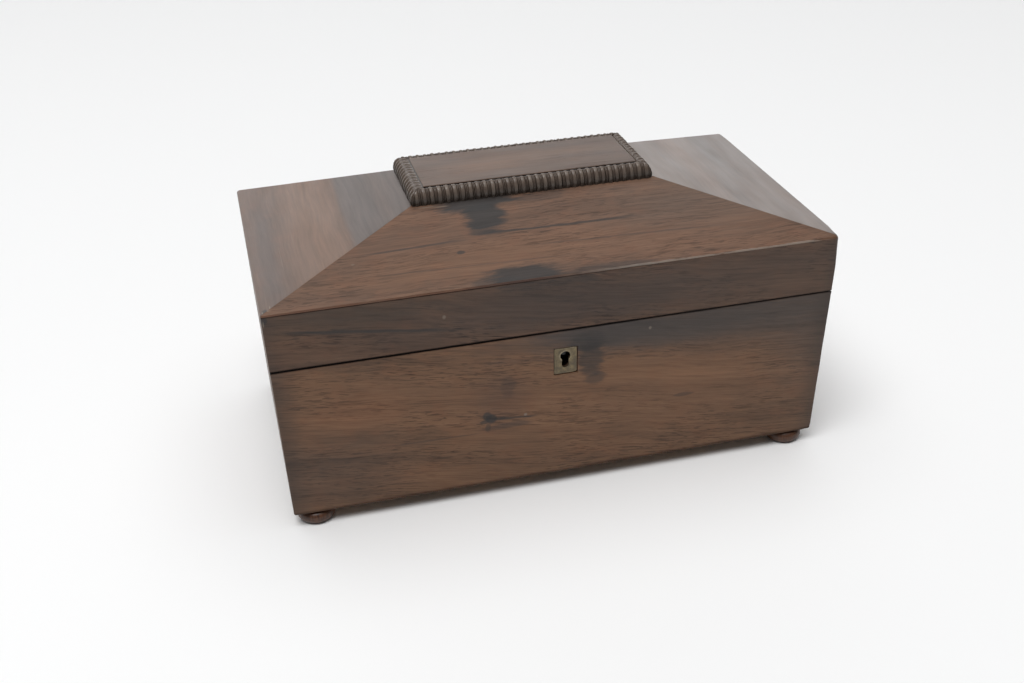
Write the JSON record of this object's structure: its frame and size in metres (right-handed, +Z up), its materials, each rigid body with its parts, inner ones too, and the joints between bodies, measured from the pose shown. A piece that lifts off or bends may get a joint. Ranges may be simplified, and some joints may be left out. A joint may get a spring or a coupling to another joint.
{
  "type": "tea caddy",
  "caption": "Rosewood sarcophagus tea caddy on bun feet: hinged hipped lid with gadrooned tablet, box lock, lift-out tea canisters and a glass mixing bowl.",
  "frame": {"origin": "on the floor under the middle of the box, halfway between the feet", "axes": "+X to the right along the long side, +Y to the back, +Z up; the front with the keyhole faces -Y"},
  "size_m": [0.31, 0.1691, 0.166],
  "materials": {
    "rosewood_veneer": "old wax polish, satin",
    "carved_rosewood": "carved or turned, dusty wax",
    "carcase_pine": "stained softwood",
    "old_brass": "dull patina",
    "iron": "dull",
    "velvet": "cotton velvet",
    "lead_foil": "dull tea-chest foil",
    "bowl_glass": "clear blown glass"
  },
  "bodies": {
    "box": {"carcase_front": "carcase_pine", "carcase_back": "carcase_pine", "carcase_left": "carcase_pine", "carcase_right": "carcase_pine", "bottom_board": "carcase_pine", "veneer_front": "rosewood_veneer", "veneer_back": "rosewood_veneer", "veneer_left": "rosewood_veneer", "veneer_right": "rosewood_veneer", "bun_feet": "carved_rosewood", "escutcheon": "old_brass", "lock_plate": "old_brass", "lock_cap": "old_brass", "lock_spring": "iron", "lock_screws": "iron", "hinge_box_leaves": "old_brass", "hinge_pins": "old_brass", "hinge_box_screws": "iron", "partition_left": "rosewood_veneer", "partition_right": "rosewood_veneer", "well_deck": "rosewood_veneer", "well_collar": "velvet"},
    "lid": {"lid_rail_front": "carcase_pine", "lid_rail_back": "carcase_pine", "lid_rail_left": "carcase_pine", "lid_rail_right": "carcase_pine", "lid_roof_front": "carcase_pine", "lid_roof_back": "carcase_pine", "lid_roof_left": "carcase_pine", "lid_roof_right": "carcase_pine", "lid_rail_veneer_front": "rosewood_veneer", "lid_rail_veneer_back": "rosewood_veneer", "lid_rail_veneer_left": "rosewood_veneer", "lid_rail_veneer_right": "rosewood_veneer", "lid_roof_veneer_front": "rosewood_veneer", "lid_roof_veneer_back": "rosewood_veneer", "lid_roof_veneer_left": "rosewood_veneer", "lid_roof_veneer_right": "rosewood_veneer", "lid_tablet": "rosewood_veneer", "gadroon_front": "carved_rosewood", "gadroon_back": "carved_rosewood", "gadroon_left": "carved_rosewood", "gadroon_right": "carved_rosewood", "lid_lining": "velvet", "link_plate": "old_brass", "link_plate_screws": "iron", "hinge_lid_leaves": "old_brass", "hinge_lid_screws": "iron"},
    "bolt": {"lock_bolt": "iron"},
    "left_canister": {"canister_left_box": "rosewood_veneer", "canister_left_foil": "lead_foil", "canister_left_pivot_pins": "old_brass"},
    "left_canister_lid": {"canister_left_lid": "rosewood_veneer", "canister_left_knob": "carved_rosewood"},
    "right_canister": {"canister_right_box": "rosewood_veneer", "canister_right_foil": "lead_foil", "canister_right_pivot_pins": "old_brass"},
    "right_canister_lid": {"canister_right_lid": "rosewood_veneer", "canister_right_knob": "carved_rosewood"},
    "bowl": {"mixing_bowl": "bowl_glass"}
  },
  "joints": [
    {"name": "lid_hinge", "type": "hinge", "parent": "box", "child": "lid", "pos_m": [0, 0.0826, 0.10035], "axis": [-1, 0, 0], "range_deg": [0, 95]},
    {"name": "lock_bolt_slide", "type": "slide", "parent": "box", "child": "bolt", "axis": [1, 0, 0], "range_m": [0, 0.005]},
    {"name": "left_canister_lift", "type": "slide", "parent": "box", "child": "left_canister", "axis": [0, 0, 1], "range_m": [0, 0.03]},
    {"name": "left_canister_lid_hinge", "type": "hinge", "parent": "left_canister", "child": "left_canister_lid", "pos_m": [-0.09965, 0.0665, 0.09], "axis": [-1, 0, 0], "range_deg": [0, 94]},
    {"name": "right_canister_lift", "type": "slide", "parent": "box", "child": "right_canister", "axis": [0, 0, 1], "range_m": [0, 0.03]},
    {"name": "right_canister_lid_hinge", "type": "hinge", "parent": "right_canister", "child": "right_canister_lid", "pos_m": [0.09965, 0.0665, 0.09], "axis": [-1, 0, 0], "range_deg": [0, 94]},
    {"name": "bowl_lift", "type": "slide", "parent": "box", "child": "bowl", "axis": [0, 0, 1], "range_m": [0, 0.035]}
  ],
  "couplings": [
    {"joint": "left_canister_lid_hinge", "follows": "lid_hinge", "ratio": 0.98},
    {"joint": "right_canister_lid_hinge", "follows": "lid_hinge", "ratio": 0.98}
  ]
}
